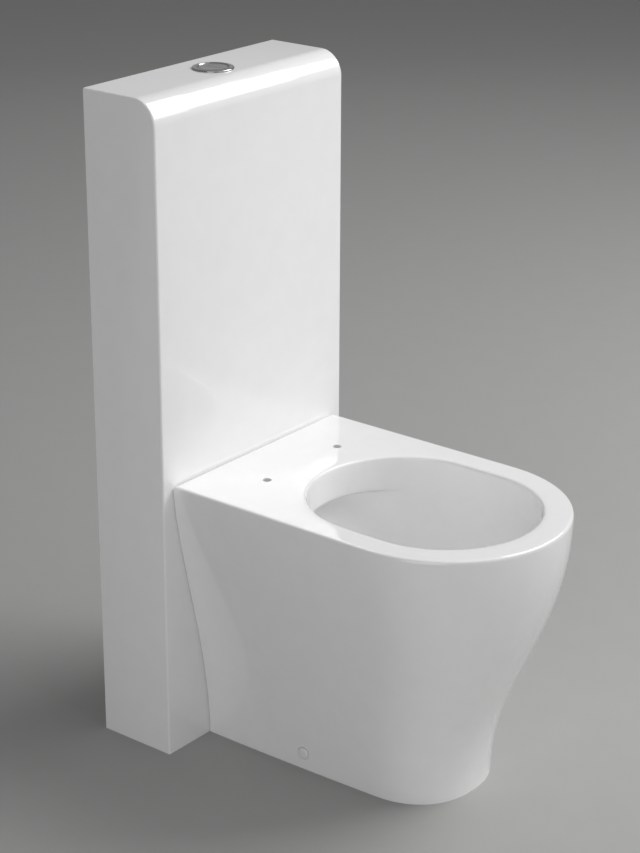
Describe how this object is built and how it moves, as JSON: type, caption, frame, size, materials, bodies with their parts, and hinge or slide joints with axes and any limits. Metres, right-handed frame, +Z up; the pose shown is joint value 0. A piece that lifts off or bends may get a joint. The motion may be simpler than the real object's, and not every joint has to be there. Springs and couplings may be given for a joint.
{
  "type": "close coupled toilet",
  "caption": "Back-to-wall glazed ceramic toilet pan with a rimless bowl, close coupled to a slim full-height cistern casing with a round dual flush button on top.",
  "frame": {"origin": "on the floor, on the middle plane, midway between the wall face of the casing and the front of the pan", "axes": "+Z up, -Y towards the front of the pan, +Y towards the wall, +X to the right of a person who faces the wall"},
  "size_m": [0.4, 0.6405, 0.973],
  "materials": {
    "glazed_ceramic": "white sanitary glaze, high gloss",
    "white_cap": "white, glossy",
    "chromed_plastic": "bright chrome plate",
    "black_rubber": "black moulded rubber",
    "grey_foam": "dark grey closed-cell strip",
    "white_foam": "white expanded polystyrene",
    "tank_plastic": "natural white polyethylene",
    "pipe_plastic": "white pipe plastic",
    "valve_plastic": "light grey moulded plastic",
    "coloured_plastic": "blue moulded plastic",
    "float_plastic": "off-white moulded plastic",
    "nut_plastic": "black moulded nylon",
    "plated_steel": "zinc plated",
    "stainless_steel": "drawn stainless wire"
  },
  "bodies": {
    "toilet": {"pan": "glazed_ceramic", "pan_bowl": "glazed_ceramic", "pan_trap": "glazed_ceramic", "cistern_casing": "glazed_ceramic", "fixing_cap_left": "white_cap", "fixing_cap_right": "white_cap", "button_bezel": "chromed_plastic", "waste_seal": "black_rubber", "flush_inlet_seal": "black_rubber", "bezel_gasket": "black_rubber", "valve_base_washer": "black_rubber", "fill_valve_washer": "black_rubber", "tank_pad_left": "black_rubber", "tank_pad_right": "black_rubber", "pan_back_gasket": "grey_foam", "insulation_jacket": "white_foam", "inner_tank": "tank_plastic", "tank_lid": "tank_plastic", "waste_connector": "pipe_plastic", "flush_pipe": "pipe_plastic", "flush_valve_body": "valve_plastic", "fill_valve_body": "valve_plastic", "button_sleeve": "valve_plastic", "fill_valve_cap": "coloured_plastic", "valve_back_nut": "nut_plastic", "pipe_coupling_nut": "nut_plastic", "fill_valve_nut": "nut_plastic", "sleeve_nut": "nut_plastic", "floor_bracket_left": "nut_plastic", "floor_bracket_right": "nut_plastic", "skirt_screws": "plated_steel", "clip_screws": "plated_steel", "tank_clip_left": "plated_steel", "tank_clip_right": "plated_steel", "full_spring": "stainless_steel", "half_spring": "stainless_steel", "full_rocker_pin": "stainless_steel", "half_rocker_pin": "stainless_steel", "fill_lever_pin": "stainless_steel"},
    "full_button": {"full_button": "chromed_plastic", "full_push_rod": "valve_plastic"},
    "half_button": {"half_button": "chromed_plastic", "half_push_rod": "valve_plastic"},
    "full_rocker": {"full_rocker": "coloured_plastic"},
    "half_rocker": {"half_rocker": "coloured_plastic"},
    "riser": {"overflow_riser": "valve_plastic", "riser_seal": "black_rubber", "riser_yoke": "coloured_plastic"},
    "part_flush": {"part_flush_lift": "coloured_plastic", "part_flush_float": "float_plastic"},
    "fill_float": {"fill_float": "float_plastic", "fill_float_rod": "float_plastic"},
    "fill_lever": {"fill_lever": "coloured_plastic"}
  },
  "joints": [
    {"name": "full_button_press", "type": "slide", "parent": "toilet", "child": "full_button", "axis": [0, 0, -1], "range_m": [0, 0.006], "stiffness_N_per_m": 300, "springref_m": -0.01, "deforming": ["full_spring"]},
    {"name": "half_button_press", "type": "slide", "parent": "toilet", "child": "half_button", "axis": [0, 0, -1], "range_m": [0, 0.006], "stiffness_N_per_m": 300, "springref_m": -0.01, "deforming": ["half_spring"]},
    {"name": "full_rocker_turn", "type": "hinge", "parent": "toilet", "child": "full_rocker", "pos_m": [-0.024, 0.26425, 0.884], "axis": [0, 1, 0], "range_deg": [0, 33.1]},
    {"name": "half_rocker_turn", "type": "hinge", "parent": "toilet", "child": "half_rocker", "pos_m": [0.024, 0.26425, 0.884], "axis": [0, -1, 0], "range_deg": [0, 33.1]},
    {"name": "riser_rise", "type": "slide", "parent": "toilet", "child": "riser", "axis": [0, 0, 1], "range_m": [0, 0.012]},
    {"name": "part_flush_rise", "type": "slide", "parent": "toilet", "child": "part_flush", "axis": [0, 0, 1], "range_m": [0, 0.012]},
    {"name": "fill_float_drop", "type": "slide", "parent": "toilet", "child": "fill_float", "axis": [0, 0, -1], "range_m": [0, 0.012]},
    {"name": "fill_lever_turn", "type": "hinge", "parent": "toilet", "child": "fill_lever", "pos_m": [-0.097, 0.26425, 0.836], "axis": [0, -1, 0], "range_deg": [0, 22.1]}
  ],
  "couplings": [
    {"joint": "full_rocker_turn", "follows": "full_button_press", "rad_per_m": 96.155},
    {"joint": "riser_rise", "follows": "full_button_press", "ratio": 2},
    {"joint": "half_rocker_turn", "follows": "half_button_press", "rad_per_m": 96.155},
    {"joint": "part_flush_rise", "follows": "half_button_press", "ratio": 2},
    {"joint": "fill_lever_turn", "follows": "fill_float_drop", "rad_per_m": 32.033}
  ]
}
